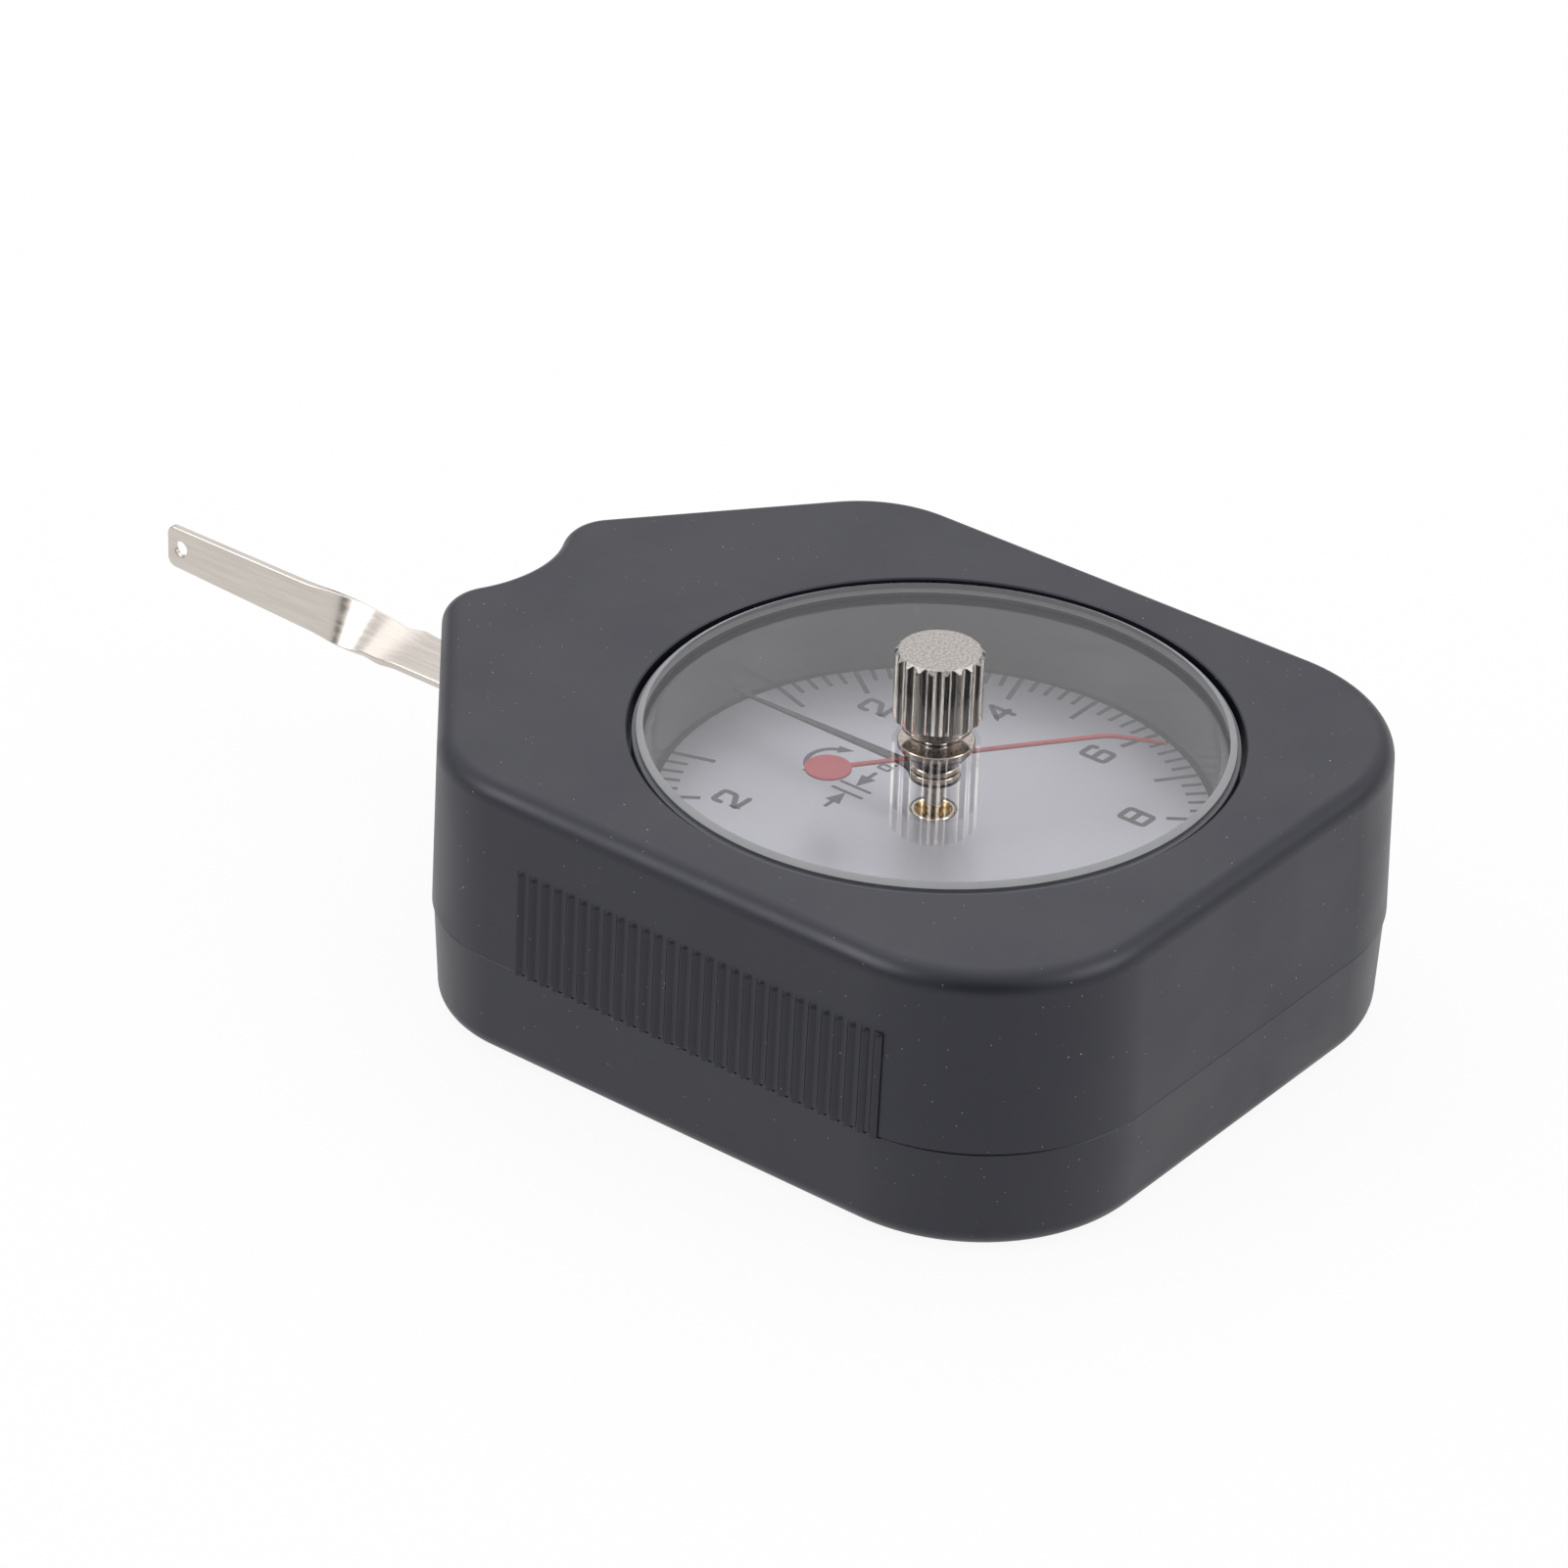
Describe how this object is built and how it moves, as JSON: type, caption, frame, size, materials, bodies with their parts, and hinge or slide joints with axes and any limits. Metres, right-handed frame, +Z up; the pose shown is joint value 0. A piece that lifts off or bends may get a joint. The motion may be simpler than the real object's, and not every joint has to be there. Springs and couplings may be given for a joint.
{
  "type": "dial tension gauge",
  "caption": "Palm-sized dial gauge that reads a small force: a flat feeler lever swings out of a moulded case and turns a needle, and a knurled knob sets a peak-holding red hand.",
  "frame": {"origin": "the dial's axis on the flat bottom of the case", "axes": "+Z up out of the crystal along the dial's axis, +Y from the dial's axis to the tip of the feeler lever at rest, +X to the right seen from above with the lever pointing away"},
  "size_m": [0.0632, 0.1172, 0.033],
  "materials": {
    "black_abs": "fine-grained moulded ABS, dark grey",
    "clear_acrylic": "clear polished acrylic",
    "black_rubber": "soft black rubber",
    "silvered_brass": "silvered matt dial with black print",
    "brass": "turned and stamped brass",
    "nickel_plate": "bright nickel plate",
    "stainless_strip": "stainless strip, satin",
    "steel": "turned steel",
    "spring_steel": "blued spring steel",
    "red_lacquer": "red lacquer",
    "black_lacquer": "black lacquer"
  },
  "bodies": {
    "case": {"case_body": "black_abs", "bottom_cover": "black_abs", "crystal": "clear_acrylic", "crystal_seal": "black_rubber", "dial_plate": "silvered_brass", "upper_plate": "brass", "lower_plate": "brass", "needle_bush": "brass", "dial_bush": "brass", "lever_bush_lower": "brass", "lever_bush_upper": "brass", "measuring_spring_stud": "brass", "hairspring_stud": "brass", "case_screw_1": "steel", "case_screw_2": "steel", "case_screw_3": "steel", "case_screw_4": "steel", "pillar_1": "brass", "upper_plate_screw_1": "steel", "lower_plate_screw_1": "steel", "movement_screw_1": "steel", "pillar_2": "brass", "upper_plate_screw_2": "steel", "lower_plate_screw_2": "steel", "movement_screw_2": "steel", "pillar_3": "brass", "upper_plate_screw_3": "steel", "lower_plate_screw_3": "steel", "movement_screw_3": "steel", "stop_pin_1": "steel", "stop_pin_2": "steel"},
    "lever": {"feeler_lever": "stainless_strip", "lever_hub": "brass", "lever_arbor": "steel", "sector_gear": "brass", "lever_screw_1": "steel", "lever_screw_2": "steel", "measuring_spring": "spring_steel"},
    "needle": {"needle_arbor": "steel", "needle": "black_lacquer", "needle_hub": "nickel_plate", "hairspring_collet": "brass", "hairspring": "spring_steel"},
    "drag_hand": {"drag_hand": "red_lacquer", "drag_flange": "nickel_plate", "friction_washer": "spring_steel", "knob": "nickel_plate"}
  },
  "joints": [
    {"name": "lever_swing", "type": "hinge", "parent": "case", "child": "lever", "pos_m": [0, 0.0192, 0.0115], "axis": [0, 0, 1], "range_deg": [-12, 12], "stiffness_Nm_per_rad": 0.031, "deforming": ["measuring_spring"]},
    {"name": "needle_spin", "type": "hinge", "parent": "case", "child": "needle", "pos_m": [0, 0, 0.0204], "axis": [0, 0, 1], "range_deg": [-180, 180], "deforming": ["hairspring"]},
    {"name": "drag_hand_turn", "type": "hinge", "parent": "case", "child": "drag_hand", "pos_m": [0, 0, 0.03], "axis": [0, 0, 1], "range_deg": [-226.4, 119.6]}
  ],
  "couplings": [
    {"joint": "needle_spin", "follows": "lever_swing", "ratio": -15}
  ]
}
